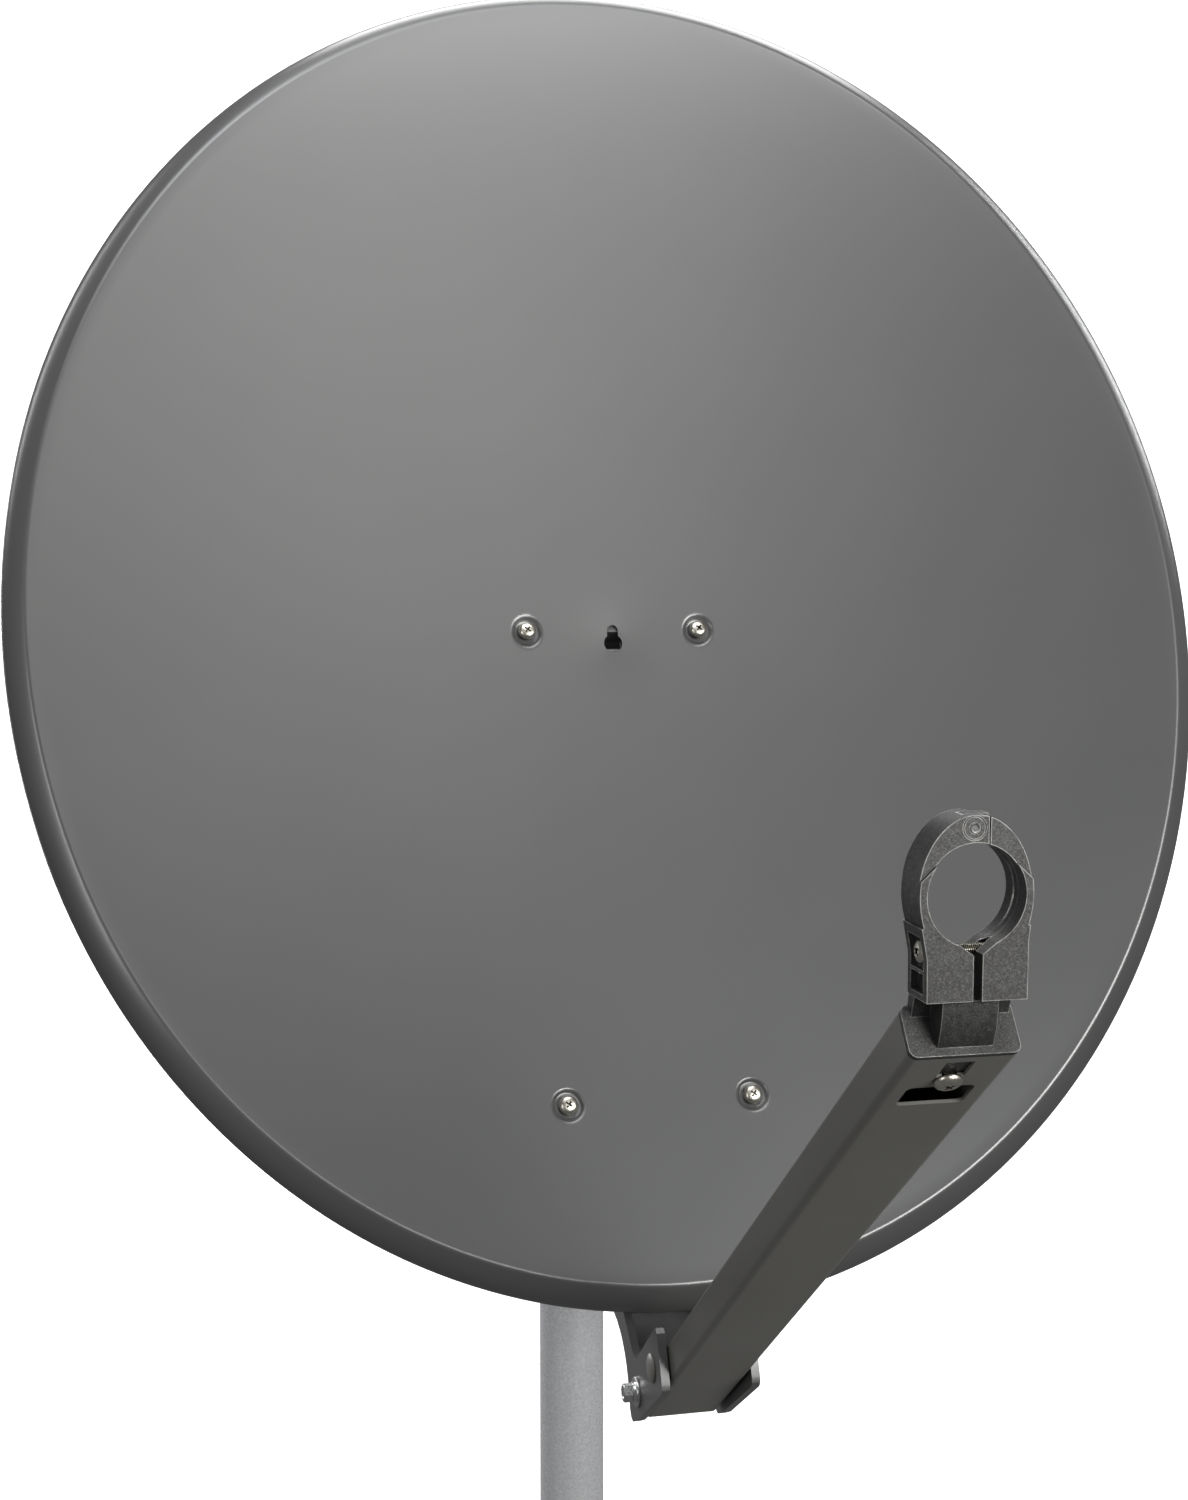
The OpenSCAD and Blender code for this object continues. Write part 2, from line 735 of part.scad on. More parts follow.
module feed_bracket() {
    color(raw_alloy) {
        difference() {
            on_clamp() clamp_block() difference() {
                clamp_outline();
                translate([slot_left, -50]) square([60, 60]);
                translate([parting_x, 0]) square([60, 60]);
            }
            on_clamp() {
                clamp_bore();
                leaf_zone(leaf_r + 0.3, 0.2);
                translate([pin_x, clamp_l / 2 - leaf_half - 0.2, pin_z - leaf_r - 0.3]) {
                    cube([20, 2 * leaf_half + 0.4, 20]);
                }
                translate([pin_x, 0, pin_z]) rod_y(-1, clamp_l + 1, pin_r + 0.02);
                translate([0, clamp_screw_y, clamp_screw_z]) rod_x(-30, 5, m5 + 0.1);
                translate([-30, clamp_screw_y - 6.2, clamp_screw_z - 6.5]) cube([30 - 17.5, 13.2, 13]);
                translate([-30, clamp_screw_y - 6.2, base_z + 2.5]) cube([30 - 16.5, 13.2, 8]);
            }
        }
        // Upright behind the clamp, neck below it, and the foot of the fixed half on both.
        side_plate(-19.3, 40.6) polygon([
            arm_point(-1.5, 16), [clamp_front + 13.8, neck_top],
            [clamp_front + 19.7, neck_top], arm_point(-1.5, arm_h - 0.3)
        ]);
        side_plate(-11.5, 23) polygon(concat(
            bow([clamp_front + 4, neck_top], [clamp_front + 5, neck_top - 13], arm_point(-2, 3), 8),
            [arm_point(-1.4, 18), [clamp_front + 16, neck_top]]
        ));
        translate([-19.1, clamp_front + 14.2, neck_top - 1]) cube([18.9 + slot_left, 5, 3]);
        translate([-11.3, clamp_front + 6, neck_top - 1.2]) cube([11 + slot_left, 11, 3.4]);
        on_arm() {
            translate([0, -plug_plate, 0]) rotate([-90, 0, 0]) linear_extrude(plug_plate) arm_section(0, arm_corner);
            difference() {
                translate([0, -1, 0]) rotate([-90, 0, 0]) linear_extrude(plug_tongue + 1) {
                    arm_section(arm_wall + 0.25, arm_corner - arm_wall);
                }
                translate([0, plug_screw_s, 0]) cylinder(h = 14, r = m6);
            }
        }
    }
}

module plug_screw() {
    color(zinc) on_arm() translate([0, plug_screw_s, 0]) {
        translate([0, 0, -0.05]) cylinder(h = 13, r = m6 - 0.05);
        difference() {
            intersection() {
                translate([0, 0, -3.6]) cylinder(h = 3.55, r = m6_head_r);
                translate([0, 0, 6.2]) sphere(r = 9.8, $fn = 96);
            }
            for (turn = [0, 90]) rotate(turn) translate([-0.6, -3, -5]) cube([1.2, 6, 2.8]);
        }
    }
}

module clamp_jaw() {
    color(raw_alloy) on_clamp() difference() {
        union() {
            clamp_block() difference() {
                clamp_outline();
                translate([slot_right - 60, -50]) square([60, 50]);
                translate([parting_x + parting_gap - 60, 0]) square([60, 60]);
            }
            leaf_zone(leaf_r, 0);
            translate([pin_x, clamp_l / 2 - leaf_half, pin_z - leaf_r]) {
                cube([parting_x + parting_gap - pin_x + 1, 2 * leaf_half, 2 * leaf_r]);
            }
        }
        clamp_bore();
        translate([pin_x, 0, pin_z]) rod_y(-1, clamp_l + 1, pin_r + running);
        translate([0, clamp_screw_y, clamp_screw_z]) {
            for (z = [-1.4, 1.4]) translate([0, 0, z]) rod_x(-1, 30, m5 + 0.5);
            translate([-1, -m5 - 0.5, -1.4]) cube([31, 2 * m5 + 1, 2.8]);
            translate([15.5, -5.6, -7.6]) cube([20, 11.2, 14.2]);
        }
    }
}

module clamp_hinge_pin() {
    color(zinc) on_clamp() translate([pin_x, 0, pin_z]) rod_y(face_step - 0.5, clamp_l + 0.5, pin_r);
}

module clamp_screw() {
    color(zinc) on_clamp() translate([0, clamp_screw_y, clamp_screw_z]) {
        rod_x(-17.5, 22, m5 - 0.05);
        difference() {
            intersection() {
                rod_x(-20.3, -17.5, m5_head_r);
                translate([-13.6, 0, 0]) sphere(r = 6.9, $fn = 96);
            }
            for (turn = [0, 90]) rotate([turn, 0, 0]) translate([-22.4, -0.6, -2.6]) cube([3, 1.2, 5.2]);
        }
    }
}

module clamp_nut() {
    color(zinc) on_clamp() translate([0, clamp_screw_y, clamp_screw_z]) difference() {
        translate([16.1, -5, -5]) cube([4.8, 10, 10]);
        rod_x(15, 23, m5);
    }
}

// ---------- nodes ----------

reflector();
reflector_screws();
reflector_washers();
reflector_nuts();
dish_bracket();
elevation_lock_bolt();
elevation_lock_washers();
elevation_lock_nut();
elevation_lock_bush();
elevation_pivot_bush();
elevation_pivot_bolt();
elevation_pivot_washers();
elevation_pivot_nut();
mast_bracket();
mast_bolts();
mast_jaw_upper();
mast_washers_upper();
mast_nuts_upper();
mast_jaw_lower();
mast_washers_lower();
mast_nuts_lower();
arm_tube();
arm_pivot_bush();
arm_pivot_rivet();
arm_lock_bolt();
arm_lock_washers();
arm_lock_nut();
feed_bracket();
plug_screw();
clamp_jaw();
clamp_hinge_pin();
clamp_screw();
clamp_nut();
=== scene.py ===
"""Looks of the offset satellite dish, in the frame of its CAD model: metres, +Z up, facing -Y."""

import json
import math

import bmesh
import bpy
from mathutils import Matrix, Vector

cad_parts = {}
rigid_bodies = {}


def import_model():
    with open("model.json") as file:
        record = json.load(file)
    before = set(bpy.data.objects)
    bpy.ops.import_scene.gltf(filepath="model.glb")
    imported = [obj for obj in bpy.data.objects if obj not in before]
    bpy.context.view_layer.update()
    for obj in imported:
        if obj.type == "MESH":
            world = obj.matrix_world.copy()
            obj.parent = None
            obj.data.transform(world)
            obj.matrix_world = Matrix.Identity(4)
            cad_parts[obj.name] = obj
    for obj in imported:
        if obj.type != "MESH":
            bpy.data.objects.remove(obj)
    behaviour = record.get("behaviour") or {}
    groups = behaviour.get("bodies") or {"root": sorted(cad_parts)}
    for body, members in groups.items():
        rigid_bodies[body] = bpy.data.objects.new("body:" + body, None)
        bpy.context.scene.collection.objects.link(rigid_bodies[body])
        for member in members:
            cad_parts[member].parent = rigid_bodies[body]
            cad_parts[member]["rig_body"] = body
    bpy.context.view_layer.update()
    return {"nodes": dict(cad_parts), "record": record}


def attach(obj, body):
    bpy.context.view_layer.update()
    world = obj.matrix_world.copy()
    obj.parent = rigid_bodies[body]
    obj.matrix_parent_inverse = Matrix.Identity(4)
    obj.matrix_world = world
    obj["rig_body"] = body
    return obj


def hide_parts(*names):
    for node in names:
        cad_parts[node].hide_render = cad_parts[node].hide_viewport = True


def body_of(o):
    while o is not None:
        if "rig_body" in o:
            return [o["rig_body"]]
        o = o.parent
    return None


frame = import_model()
NODES = frame["nodes"]
MM = 0.001

# ---------- driving dimensions, in millimetres, as in part.scad ----------

REFLECTOR_W, REFLECTOR_H = 800, 908
FOCAL_LENGTH = 480
SHEET = 1.2
RIM_W, RIM_D = 16, 18
LEAN = 20
RIM_FORWARD, RIM_UP = 207, 90
SCREW_PITCH = 120
SCREW_TOP, SCREW_LOW = -5, -326
KEYHOLE_V = -13
KEYHOLE_R, KEYHOLE_SLOT, KEYHOLE_RISE = 6.4, 7.6, 9.2
MAST_D = 50
CHEEK = 59 / 2
EAR_OUT = CHEEK + 4.2
ELEVATION_Y, ELEVATION_Z, ELEVATION_R = -80, -45, 85
JAW_PITCH, CLAMP_BOLT_PITCH = 80, 84
ARM_TIP_Y, ARM_TIP_Z, ARM_SLOPE = -769.9, -75.7, 38
ARM_LOCK_S, ARM_LOCK_N, PLUG_SCREW_S = 525, 11.5, 21
CLAMP_FRONT, FEED_Z, CLAMP_L = -779, -10.7, 20
CLAMP_SCREW_Z, PIN_X, PIN_Z, FACE_STEP = -22.5, -0.9, 25.7, 1.5

CREST_A = REFLECTOR_W / 2 - RIM_W
CREST_B = REFLECTOR_H / 2 - RIM_W
OFFSET = math.acos(CREST_A / CREST_B)


# ---------- places ----------


def turn_x(degrees):
    return Matrix.Rotation(math.radians(degrees), 4, "X")


ON_DISH = Matrix.Translation((0, -RIM_FORWARD, RIM_UP)) @ turn_x(-LEAN)


def depth(u, v):
    """Depth of the reflecting face behind the plane of the rim's crest, at u across and v up."""
    y = v * math.cos(OFFSET)
    for _ in range(12):
        chord = (CREST_A**2 - u * u - y * y) / (4 * FOCAL_LENGTH)
        y = (v + chord * math.sin(OFFSET)) * math.cos(OFFSET)
    return (CREST_A**2 - u * u - y * y) / (4 * FOCAL_LENGTH) * math.cos(OFFSET)


SEAT_TOP = depth(SCREW_PITCH / 2, SCREW_TOP) + SHEET
SEAT_LOW = depth(SCREW_PITCH / 2, SCREW_LOW) + SHEET
PLATE_TILT = math.degrees(math.atan2(SEAT_TOP - SEAT_LOW, SCREW_TOP - SCREW_LOW))
ROW_PITCH = math.hypot(SEAT_TOP - SEAT_LOW, SCREW_TOP - SCREW_LOW)
ON_PLATE = ON_DISH @ Matrix.Translation((0, SEAT_TOP, SCREW_TOP)) @ turn_x(-PLATE_TILT)
SCREW_PLACES = [(x * SCREW_PITCH / 2, -row * ROW_PITCH) for x in (-1, 1) for row in (0, 1)]


# ---------- mesh helpers ----------

AROUND = 48
SAME_POINT = 1e-6
FLAT_ANGLE = math.radians(0.4)


def add_mesh(name, verts, faces, place=Matrix()):
    """A smooth-shaded object from points in millimetres, put in the frame in metres by place."""
    mesh = bpy.data.meshes.new(name)
    mesh.from_pydata([(place @ Vector(v)) * MM for v in verts], [], faces)
    bm = bmesh.new()
    bm.from_mesh(mesh)
    bmesh.ops.recalc_face_normals(bm, faces=bm.faces)
    bm.to_mesh(mesh)
    bm.free()
    for polygon in mesh.polygons:
        polygon.use_smooth = True
    piece = bpy.data.objects.new(name, mesh)
    bpy.context.scene.collection.objects.link(piece)
    return piece


def loft(rings, closed=False):
    """Points and faces of a skin over rings of equal length. Its ends are capped unless it is closed."""
    n = len(rings[0])
    verts = [p for ring in rings for p in ring]
    pairs = list(zip(range(len(rings)), range(1, len(rings))))
    if closed:
        pairs.append((len(rings) - 1, 0))
    faces = []
    for a, b in pairs:
        for i in range(n):
            k = (i + 1) % n
            faces.append((a * n + i, a * n + k, b * n + k, b * n + i))
    if not closed:
        faces.append(tuple(range(n))[::-1])
        faces.append(tuple((len(rings) - 1) * n + i for i in range(n)))
    return verts, faces


def arc(r, start, end, step):
    """Points of an arc round the origin, every step degrees from start to end."""
    turns = [math.radians(degrees) for degrees in range(start, end + 1, step)]
    return [(r * math.cos(a), r * math.sin(a)) for a in turns]


def circle(r, z, n=AROUND):
    """A ring of n points at z."""
    turns = [2 * math.pi * i / n for i in range(n)]
    return [(r * math.cos(a), r * math.sin(a), z) for a in turns]


def sharpen(piece, angle=35):
    """Smooth shading, with edges over this angle kept sharp."""
    mesh = piece.data
    bm = bmesh.new()
    bm.from_mesh(mesh)
    limit = math.radians(angle)
    for edge in bm.edges:
        edge.smooth = len(edge.link_faces) == 2 and edge.calc_face_angle(0) < limit
    for face in bm.faces:
        face.smooth = True
    bm.to_mesh(mesh)
    bm.free()


def add_bevel(piece, width):
    """A small round, this many millimetres wide, along every edge of 30 degrees or more."""
    bevel = piece.modifiers.new("bevel", "BEVEL")
    bevel.width = width * MM
    bevel.segments = 2
    bevel.limit_method = "ANGLE"
    bevel.angle_limit = math.radians(30)
    bevel.harden_normals = True


def clean_cad(node, width):
    """A CAD node keeps its shape: its flat faces are joined up and its sharp edges get a small round."""
    piece = NODES[node]
    for polygon in piece.data.polygons:
        polygon.use_smooth = True
    weld = piece.modifiers.new("weld", "WELD")
    weld.merge_threshold = SAME_POINT
    join = piece.modifiers.new("join", "DECIMATE")
    join.decimate_type = "DISSOLVE"
    join.angle_limit = FLAT_ANGLE
    add_bevel(piece, width)


# ---------- materials ----------


def new_material(name):
    """A new material, its node tree and its shader."""
    material = bpy.data.materials.new(name)
    material.use_nodes = True
    tree = material.node_tree
    return material, tree, tree.nodes["Principled BSDF"]


def add_node(tree, kind, **values):
    """A node whose values are set on its inputs, or on itself where it has no such input."""
    made = tree.nodes.new(kind)
    for key, value in values.items():
        if key in made.inputs:
            made.inputs[key].default_value = value
        else:
            setattr(made, key, value)
    return made


def noise(tree, scale, detail=3, roughness=0.5):
    """A noise over the object's own coordinates. Scale is cycles a metre."""
    coords = add_node(tree, "ShaderNodeTexCoord")
    made = add_node(tree, "ShaderNodeTexNoise", Scale=scale, Detail=detail, Roughness=roughness)
    tree.links.new(coords.outputs["Object"], made.inputs["Vector"])
    return made.outputs["Fac"]


def ramp(tree, source, stops):
    """A colour ramp. stops are (place, grey or colour)."""
    made = add_node(tree, "ShaderNodeValToRGB")
    elements = made.color_ramp.elements
    while len(elements) < len(stops):
        elements.new(0.5)
    for element, (place, colour) in zip(elements, stops):
        element.position = place
        element.color = (*colour, 1) if isinstance(colour, tuple) else (colour, colour, colour, 1)
    tree.links.new(source, made.inputs["Fac"])
    return made.outputs["Color"]


def add_bump(tree, shader, source, strength, distance, after=None):
    """Bumps from the source, distance millimetres deep, on top of the ones in after."""
    bump = add_node(tree, "ShaderNodeBump", Strength=strength, Distance=distance * MM)
    tree.links.new(source, bump.inputs["Height"])
    if after:
        tree.links.new(after, bump.inputs["Normal"])
    tree.links.new(bump.outputs["Normal"], shader.inputs["Normal"])
    return bump.outputs["Normal"]


def powder_coat(name, dark, light, rough, gloss):
    """Satin powder coat: a faint orange peel, fine grain, and slightly uneven colour and gloss."""
    grain, bump, uneven = 900, 0.05, 0.012
    material, tree, shader = new_material(name)
    shader.inputs["Specular IOR Level"].default_value = gloss
    mottle = noise(tree, 9, 2)
    tree.links.new(ramp(tree, mottle, [(0.35, dark), (0.65, light)]), shader.inputs["Base Color"])
    fine = noise(tree, grain, 2, 0.6)
    dull = ramp(tree, fine, [(0.3, rough - uneven), (0.7, rough + uneven)])
    tree.links.new(dull, shader.inputs["Roughness"])
    peel = add_bump(tree, shader, noise(tree, grain / 5, 2), bump * 0.5, 0.08)
    add_bump(tree, shader, fine, bump, 0.05, peel)
    return material


def edge_mask(tree, radius):
    """One on outer edges, nought on flat faces and in inner corners. Radius is in millimetres."""
    bent = add_node(tree, "ShaderNodeBevel", Radius=radius * MM)
    bent.samples = 6
    flat = add_node(tree, "ShaderNodeNewGeometry")
    same = add_node(tree, "ShaderNodeVectorMath", operation="DOT_PRODUCT")
    tree.links.new(bent.outputs["Normal"], same.inputs[0])
    tree.links.new(flat.outputs["Normal"], same.inputs[1])
    bend = ramp(tree, same.outputs["Value"], [(0.86, 1.0), (0.985, 0.0)])
    nook = add_node(tree, "ShaderNodeAmbientOcclusion", Distance=2 * radius * MM)
    nook.samples = 6
    open_air = ramp(tree, nook.outputs["AO"], [(0.55, 0.0), (0.8, 1.0)])
    both = add_node(tree, "ShaderNodeMath", operation="MULTIPLY")
    tree.links.new(bend, both.inputs[0])
    tree.links.new(open_air, both.inputs[1])
    return both.outputs["Value"]


def blend(tree, factor, first, second):
    """A mix of two colours, each an output socket or a plain colour."""
    made = add_node(tree, "ShaderNodeMix", data_type="RGBA")
    tree.links.new(factor, made.inputs["Factor"])
    for socket, value in ((made.inputs[6], first), (made.inputs[7], second)):
        if isinstance(value, tuple):
            socket.default_value = (*value, 1)
        else:
            tree.links.new(value, socket)
    return made.outputs[2]


def raw_casting(name):
    """Raw die-cast alloy: dark skin with a fine sandy grain; its outer edges are painted unevenly bright,
    partly as wear and partly as a painted highlight.
    """
    material, tree, shader = new_material(name)
    shader.inputs["Metallic"].default_value = 0.9
    grain = noise(tree, 1500, 4, 0.7)
    pits, body, tops = (0.045, 0.046, 0.048), (0.10, 0.10, 0.10), (0.21, 0.21, 0.20)
    skin = ramp(tree, grain, [(0.30, pits), (0.52, body), (0.74, tops)])
    cloud = ramp(tree, noise(tree, 120, 3), [(0.35, (0.90, 0.88, 0.86)), (0.65, (1.0, 1.0, 1.0))])
    tone = add_node(tree, "ShaderNodeMix", data_type="RGBA", blend_type="MULTIPLY")
    tone.inputs["Factor"].default_value = 1.0
    tree.links.new(skin, tone.inputs[6])
    tree.links.new(cloud, tone.inputs[7])
    # Near-white outer edges: partly wear, partly a painted highlight of edges catching the light.
    uneven = add_node(tree, "ShaderNodeMath", operation="MULTIPLY")
    tree.links.new(edge_mask(tree, 0.75), uneven.inputs[0])
    tree.links.new(ramp(tree, noise(tree, 130, 3), [(0.36, 0.25), (0.62, 1.0)]), uneven.inputs[1])
    wear_and_highlight = uneven.outputs["Value"]
    wear_and_highlight_colour = (0.85, 0.85, 0.82)
    tree.links.new(blend(tree, wear_and_highlight, tone.outputs[2], wear_and_highlight_colour), shader.inputs["Base Color"])
    dull = ramp(tree, noise(tree, 300, 3), [(0.3, 0.44), (0.7, 0.6)])
    tree.links.new(blend(tree, wear_and_highlight, dull, (0.3, 0.3, 0.3)), shader.inputs["Roughness"])
    add_bump(tree, shader, grain, 0.3, 0.1)
    return material


def bright_metal(name, colour, rough, recess=0.0):
    """Plated or worn metal with faint marks. With a recess depth, in millimetres, shade is painted near
    black into its hollows.
    """
    material, tree, shader = new_material(name)
    shader.inputs["Metallic"].default_value = 1.0
    shade = noise(tree, 400, 3)
    low = tuple(c * 0.8 for c in colour)
    skin = ramp(tree, shade, [(0.3, low), (0.7, colour)])
    if recess:
        # Painted shade: the hollows, such as the cross recesses, are coloured near black.
        nook = add_node(tree, "ShaderNodeAmbientOcclusion", Distance=recess * MM)
        nook.samples = 8
        painted_hollow_shade = ramp(tree, nook.outputs["AO"], [(0.5, 1.0), (0.8, 0.0)])
        skin = blend(tree, painted_hollow_shade, skin, (0.02, 0.02, 0.018))
    tree.links.new(skin, shader.inputs["Base Color"])
    rub = noise(tree, 900, 3, 0.6)
    tree.links.new(ramp(tree, rub, [(0.3, rough - 0.06), (0.7, rough + 0.1)]), shader.inputs["Roughness"])
    add_bump(tree, shader, rub, 0.08, 0.05)
    return material


DISH_COAT = powder_coat("reflector_coat", (0.058, 0.058, 0.058), (0.062, 0.062, 0.062), 0.31, 1.0)
ARM_COAT = powder_coat("arm_coat", (0.140, 0.137, 0.125), (0.152, 0.149, 0.137), 0.42, 0.45)
BRACKET_COAT = powder_coat("bracket_coat", (0.064, 0.062, 0.062), (0.070, 0.068, 0.068), 0.33, 0.9)
CASTING = raw_casting("die_cast")
ZINC = bright_metal("zinc_plate", (0.62, 0.63, 0.62), 0.28)
# The screws' hollows get painted shade.
NICKEL = bright_metal("nickel_screws", (0.60, 0.57, 0.50), 0.30, recess=1.6)
BUSH_STEEL = bright_metal("bush_steel", (0.08, 0.08, 0.08), 0.5)
PIN_STEEL = bright_metal("pin_steel", (0.22, 0.22, 0.22), 0.35)

SLOT_MATERIALS = {
    "reflector_coat": DISH_COAT,
    "bracket_coat": BRACKET_COAT,
    "arm_coat": ARM_COAT,
    "die_cast": CASTING,
    "zinc_plate": ZINC,
    "nickel_screws": NICKEL,
}


def coat_cad_nodes():
    """Every CAD node gets the material of its slot."""
    for row in frame["record"]["subparts"]:
        piece = NODES[row["node"]]
        piece.data.materials.clear()
        piece.data.materials.append(SLOT_MATERIALS[row["material_slot"]])
        for polygon in piece.data.polygons:
            polygon.material_index = 0


# ---------- camera ----------

CAMERA_PLACE = (-0.29502, -1.46689, 0.1207)
CAMERA_DOWN, CAMERA_TURN = 5.906, -12.047
CAMERA_LENS, CAMERA_SENSOR = 47.24, 36


def add_camera():
    """The picture's view: from the left of the dish, a little above its middle, looking down."""
    data = bpy.data.cameras.new("camera")
    data.sensor_width = CAMERA_SENSOR
    data.lens = CAMERA_LENS
    camera = bpy.data.objects.new("camera", data)
    camera.location = CAMERA_PLACE
    camera.rotation_euler = (math.radians(90 - CAMERA_DOWN), 0, math.radians(CAMERA_TURN))
    bpy.context.scene.collection.objects.link(camera)
    bpy.context.scene.camera = camera


add_camera()
coat_cad_nodes()

# ---------- reflector ----------

DIMPLE_R, DIMPLE_FLOOR_R, DIMPLE_DEPTH = 11.0, 8.0, 2.0
HOLLOW_R, HOLLOW_DEPTH = 20, 0.9
HEM_R = 2.2
CREST_ROUND = 1.4


def spread(low, high, step):
    """Even steps of about this size from low on, without high itself."""
    count = max(1, round((high - low) / step))
    return [low + (high - low) * i / count for i in range(count)]


def smooth_step(x):
    x = min(1, max(0, x))
    return x * x * (3 - 2 * x)


SCREW_POINTS = []
for x_place, z_place in SCREW_PLACES:
    spot = ON_DISH.inverted() @ ON_PLATE @ Vector((x_place, 0, z_place))
    SCREW_POINTS.append((spot.x, spot.z))


def dimple(u, v):
    """How far the sheet is pressed back round each screw, and a little round the keyhole."""
    deep = HOLLOW_DEPTH / (1 + (math.hypot(u, v - KEYHOLE_V) / HOLLOW_R) ** 2)
    for su, sv in SCREW_POINTS:
        r = math.hypot(u - su, v - sv)
        if r < DIMPLE_R + 1:
            deep += DIMPLE_DEPTH * (1 - smooth_step((r - DIMPLE_FLOOR_R) / (DIMPLE_R - DIMPLE_FLOOR_R)))
    return deep


def reflector_angles():
    """Angles round the rim, close together where they cross the lower screws."""
    coarse, fine, half_zone = 1.5, 0.13, 2.6
    lower = [(u, v) for u, v in SCREW_POINTS if v < SCREW_LOW / 2]
    centres = sorted(math.degrees(math.atan2(v / CREST_B, u / CREST_A)) % 360 for u, v in lower)
    angles = []
    start = 0
    for centre in centres:
        angles += spread(start, centre - half_zone, coarse)
        angles += spread(centre - half_zone, centre + half_zone, fine)
        start = centre + half_zone
    return angles + spread(start, 360, coarse)


def reflector_fractions():
    """Rings from the middle to the crest, close together where they cross the screws."""
    coarse, medium, fine, middle = 0.03, 0.02, 0.0022, 0.012
    wide = (DIMPLE_R + 2) / CREST_A
    reaches = [math.hypot(u / CREST_A, v / CREST_B) for u, v in SCREW_POINTS]
    dense = sorted(set((round(k - wide, 3), round(k + wide, 3)) for k in reaches))
    fractions = []
    start = middle
    for low, high in dense:
        if low >= start:
            fractions += spread(start, low, coarse)
            fractions += spread(low, high, fine)
            start = high
    return fractions + spread(start, 1, medium) + [1]


def rim_profile():
    """The rim past its rounded crest, as places outward and back: skirt, hem, then back inside."""

    def skirt(t, wide, deep):
        side = 2 * t * (1 - t)
        return (side * 0.9 * wide + t * t * wide, side * 0.44 * deep + t * t * deep)

    steps = [i / 14 for i in range(1, 15)]
    outside = [skirt(t, RIM_W, RIM_D - HEM_R - 1) for t in steps]
    hem = [(RIM_W - HEM_R + x, RIM_D - HEM_R + y) for x, y in arc(HEM_R, 0, 180, 20)]
    inside = [skirt(t, RIM_W - SHEET - 1, RIM_D - HEM_R - 2) for t in reversed(steps)]
    past_crest = [(e, d) for e, d in outside if e > CREST_ROUND]
    return past_crest + hem + [(e, d + SHEET) for e, d in inside]


def round_corner(inner, corner, outer, t):
    """A ring part of the way, t, along the curve that rounds the corner ring between the other two."""
    weights = ((1 - t) ** 2, 2 * t * (1 - t), t * t)
    ring = []
    for points in zip(inner, corner, outer):
        ring.append(tuple(sum(w * q for w, q in zip(weights, axis)) for axis in zip(*points)))
    return ring


def build_reflector():
    """The sheet as one skin: its face, the rounded crest, the rim and its back."""
    angles = [math.radians(a) for a in reflector_angles()]
    fractions = reflector_fractions()

    def dish_ring(k, back):
        ring = []
        for a in angles:
            u, v = CREST_A * k * math.cos(a), CREST_B * k * math.sin(a)
            ring.append((u, depth(u, v) + dimple(u, v) + back, v))
        return ring

    def rim_ring(e, d):
        return [((CREST_A + e) * math.cos(a), d, (CREST_B + e) * math.sin(a)) for a in angles]

    rim = [rim_ring(e, d) for e, d in rim_profile()]
    k_round = 1 - CREST_ROUND / CREST_A
    inner, crest = dish_ring(k_round, 0), dish_ring(1, 0)
    rings = [dish_ring(k, 0) for k in fractions if k < k_round] + [inner]
    rings += [round_corner(inner, crest, rim[0], t) for t in (0.2, 0.4, 0.6, 0.8)]
    rings += rim
    rings += [dish_ring(k, SHEET) for k in reversed(fractions)]
    verts, faces = loft(rings)
    piece = add_mesh("reflector_shell", verts, faces, ON_DISH)
    cut_keyhole(piece)
    sharpen(piece, 40)
    piece.data.materials.append(DISH_COAT)
    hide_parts("reflector")
    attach(piece, "dish")


def cut_keyhole(piece):
    """A round hole with a narrower slot rising from it."""
    outline = arc(KEYHOLE_R, 127, 413, 11)
    outline += [(x, KEYHOLE_RISE + z) for x, z in arc(KEYHOLE_SLOT / 2, 0, 180, 12)]
    rings = [[(x, y, KEYHOLE_V + z) for x, z in outline] for y in (40, 90)]
    cut(piece, add_mesh("keyhole_cutter", *loft(rings), ON_DISH))


def cut(piece, cutter):
    """Takes the cutter out of the piece, and deletes the cutter."""
    boolean = piece.modifiers.new("cut", "BOOLEAN")
    boolean.operation = "DIFFERENCE"
    boolean.solver = "EXACT"
    boolean.object = cutter
    bpy.context.view_layer.update()
    evaluated = piece.evaluated_get(bpy.context.evaluated_depsgraph_get())
    piece.data = bpy.data.meshes.new_from_object(evaluated)
    piece.modifiers.clear()
    bpy.data.objects.remove(cutter)


build_reflector()

# ---------- fasteners ----------

ALONG_X = Matrix.Rotation(math.radians(90), 4, "Y")
ALONG_Y = turn_x(-90)
ON_ARM = Matrix.Translation((0, ARM_TIP_Y, ARM_TIP_Z)) @ turn_x(-ARM_SLOPE)
ON_CLAMP = Matrix.Translation((0, CLAMP_FRONT, FEED_Z))
AT_PIN = ON_CLAMP @ Matrix.Translation((PIN_X, 0, PIN_Z)) @ ALONG_Y
AT_SCREWS = [ON_PLATE @ Matrix.Translation((x, 0, z)) @ ALONG_Y for x, z in SCREW_PLACES]

M8 = {"r": 4, "corner": 7.5, "pitch": 1.25}
M6 = {"r": 3, "corner": 5.77, "pitch": 1}
HEAD_H, NUT_H, THIN_NUT_H = 5.5, 6.5, 5
THREAD_PLAY = 0.02


def hexagon(corner, z, slope=0):
    """A hexagon's outline at z. With a slope of 1 or -1 its corners are turned off by a 30 degree cone."""
    flat = corner * math.cos(math.pi / 6)
    ring = []
    for i in range(AROUND):
        a = 2 * math.pi * i / AROUND
        r = flat / math.cos(a % (math.pi / 3) - math.pi / 6)
        cone = slope * (r - 0.97 * flat) * math.tan(math.pi / 6)
        ring.append((r * math.cos(a), r * math.sin(a), z + cone))
    return ring


